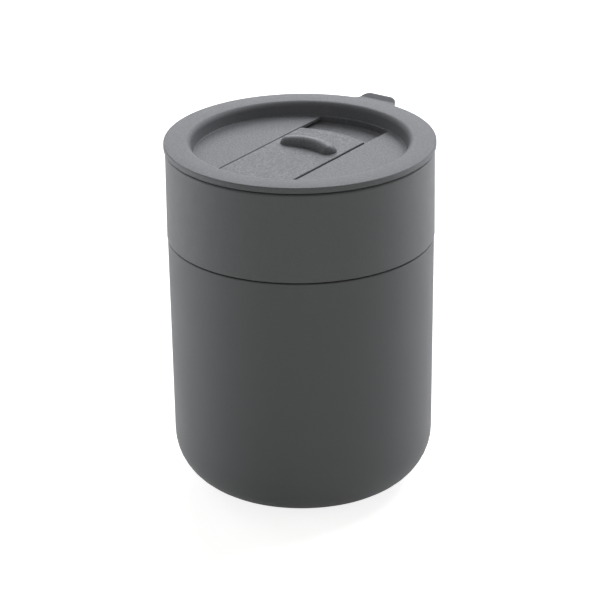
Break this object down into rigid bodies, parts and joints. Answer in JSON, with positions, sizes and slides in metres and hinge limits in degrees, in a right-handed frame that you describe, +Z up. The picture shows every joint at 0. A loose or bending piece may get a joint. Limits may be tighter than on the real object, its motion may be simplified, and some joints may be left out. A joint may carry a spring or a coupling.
{
  "type": "soup mug",
  "caption": "Round handle-less ceramic mug in a silicone sleeve, closed by a push-in plastic lid with a pull tab and a flush sliding sip cover.",
  "frame": {"origin": "middle of the flat base, on the surface that the mug stands on", "axes": "+Z up along the axis of the mug, +Y towards the pull tab of the lid, -Y towards the sip hole"},
  "size_m": [0.0908, 0.0947, 0.1227],
  "materials": {
    "ceramic": "smooth matt dark grey glaze",
    "sleeve_silicone": "smooth matt dark grey silicone",
    "lid_plastic": "fine spark-eroded grain, dark grey",
    "slider_plastic": "fine spark-eroded grain, dark grey",
    "seal_silicone": "satin dark grey silicone"
  },
  "bodies": {
    "mug": {"cup": "ceramic", "sleeve": "sleeve_silicone"},
    "lid": {"lid": "lid_plastic", "lid_seal": "seal_silicone"},
    "slider": {"slider": "slider_plastic", "slider_seal": "seal_silicone"}
  },
  "joints": [
    {"name": "lid_lift", "type": "slide", "parent": "mug", "child": "lid", "axis": [0, 0, 1], "range_m": [0, 0.05]},
    {"name": "slider_slide", "type": "slide", "parent": "lid", "child": "slider", "axis": [0, 1, 0], "range_m": [0, 0.013]}
  ]
}
